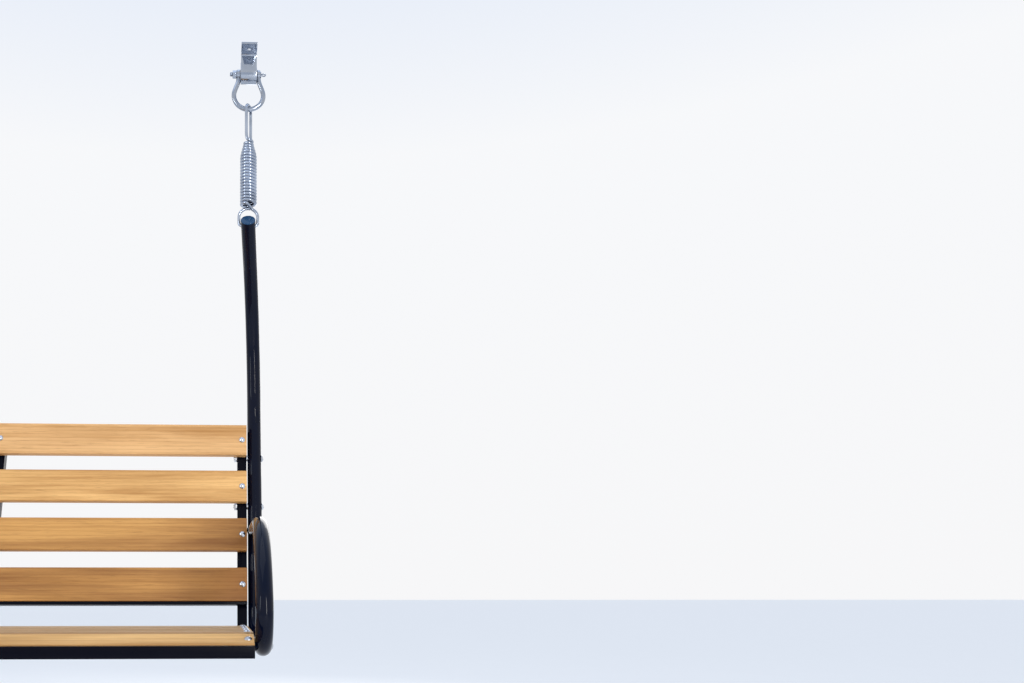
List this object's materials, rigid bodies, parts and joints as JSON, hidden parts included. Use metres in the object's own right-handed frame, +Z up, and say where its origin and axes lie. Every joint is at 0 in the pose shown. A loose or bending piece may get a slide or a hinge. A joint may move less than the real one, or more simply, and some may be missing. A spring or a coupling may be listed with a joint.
{
  "type": "porch swing",
  "caption": "Hanging porch swing: a slatted wooden bench with reclined back in a bent steel tube frame, hung on shackles and coil springs.",
  "frame": {"origin": "on the ceiling plane, midway between the two ceiling hangers, at the centre of their four anchor holes", "axes": "+X along the bench, from one hanger to the other, +Y from the seat's front to its back, +Z up"},
  "size_m": [1.4282, 0.6623, 1.5762],
  "materials": {
    "teak_back_light": "oiled teak, honey coloured, horizontal grain",
    "teak_back_dark": "oiled teak, browner boards",
    "teak_seat": "oiled teak, golden, slightly worn top",
    "black_gloss_tube": "glossy black powder coat with a blue sheen",
    "black_square_tube": "semi-gloss black powder coat",
    "spring_chrome": "bright plated spring wire",
    "hanger_chrome": "bright plated forging and strap",
    "bearing_steel": "ground bearing steel",
    "bolt_steel": "bright stainless bolt"
  },
  "bodies": {
    "ceiling_hangers": {"hanger_strap_right": "hanger_chrome", "hanger_barrel_right": "hanger_chrome", "bearing_outer_rings_right": "bearing_steel", "bearing_balls_right": "bearing_steel", "hanger_strap_left": "hanger_chrome", "hanger_barrel_left": "hanger_chrome", "bearing_outer_rings_left": "bearing_steel", "bearing_balls_left": "bearing_steel"},
    "shackle_right": {"shackle_bow_right": "hanger_chrome", "shackle_pin_right": "hanger_chrome", "shackle_nut_right": "hanger_chrome", "bearing_inner_rings_right": "bearing_steel", "bearing_spacer_right": "bearing_steel", "spring_hook_right": "spring_chrome", "spring_coil_right": "spring_chrome"},
    "spring_loop_right": {"spring_loop_right": "spring_chrome"},
    "shackle_left": {"shackle_bow_left": "hanger_chrome", "shackle_pin_left": "hanger_chrome", "shackle_nut_left": "hanger_chrome", "bearing_inner_rings_left": "bearing_steel", "bearing_spacer_left": "bearing_steel", "spring_hook_left": "spring_chrome", "spring_coil_left": "spring_chrome"},
    "spring_loop_left": {"spring_loop_left": "spring_chrome"},
    "bench": {"hanger_arm_right": "black_gloss_tube", "arm_cap_right": "black_gloss_tube", "side_upright_right": "black_gloss_tube", "side_base_right": "black_gloss_tube", "armrest_right": "black_gloss_tube", "side_bolts_right": "bolt_steel", "side_nuts_right": "bolt_steel", "side_spacers_right": "bolt_steel", "hanger_arm_left": "black_gloss_tube", "arm_cap_left": "black_gloss_tube", "side_upright_left": "black_gloss_tube", "side_base_left": "black_gloss_tube", "armrest_left": "black_gloss_tube", "side_bolts_left": "bolt_steel", "side_nuts_left": "bolt_steel", "side_spacers_left": "bolt_steel", "bench_frame_right": "black_square_tube", "bench_frame_center": "black_square_tube", "bench_frame_left": "black_square_tube", "front_rail": "black_square_tube", "rear_rail": "black_square_tube", "lower_back_rail": "black_square_tube", "back_slat_1": "teak_back_light", "back_slat_2": "teak_back_light", "back_slat_3": "teak_back_dark", "back_slat_4": "teak_back_dark", "seat_slat_1": "teak_seat", "seat_slat_2": "teak_seat", "seat_slat_3": "teak_seat", "seat_slat_4": "teak_seat", "seat_slat_5": "teak_seat", "back_slat_bolts": "bolt_steel", "back_slat_nuts": "bolt_steel", "seat_slat_bolts": "bolt_steel", "seat_slat_nuts": "bolt_steel"}
  },
  "joints": [
    {"name": "shackle_right_swing", "type": "hinge", "parent": "ceiling_hangers", "child": "shackle_right", "pos_m": [0.664, 0, -0.048], "axis": [1, 0, 0], "range_deg": [-32, 32]},
    {"name": "spring_right_stretch", "type": "slide", "parent": "shackle_right", "child": "spring_loop_right", "axis": [0, 0, -1], "range_m": [0, 0.025], "stiffness_N_per_m": 90000, "springref_m": -0.012, "deforming": ["spring_coil_right"]},
    {"name": "bench_rock", "type": "hinge", "parent": "spring_loop_right", "child": "bench", "pos_m": [0.664, 0, -0.47624], "axis": [1, 0, 0], "range_deg": [-10, 10]},
    {"name": "shackle_left_swing", "type": "hinge", "parent": "ceiling_hangers", "child": "shackle_left", "pos_m": [-0.664, 0, -0.048], "axis": [1, 0, 0], "range_deg": [-32, 32]},
    {"name": "spring_left_stretch", "type": "slide", "parent": "shackle_left", "child": "spring_loop_left", "axis": [0, 0, -1], "range_m": [0, 0.025], "stiffness_N_per_m": 200, "springref_m": -0.012, "deforming": ["spring_coil_left"]}
  ],
  "couplings": [
    {"joint": "shackle_left_swing", "follows": "shackle_right_swing", "ratio": 1},
    {"joint": "spring_left_stretch", "follows": "spring_right_stretch", "ratio": 1}
  ]
}
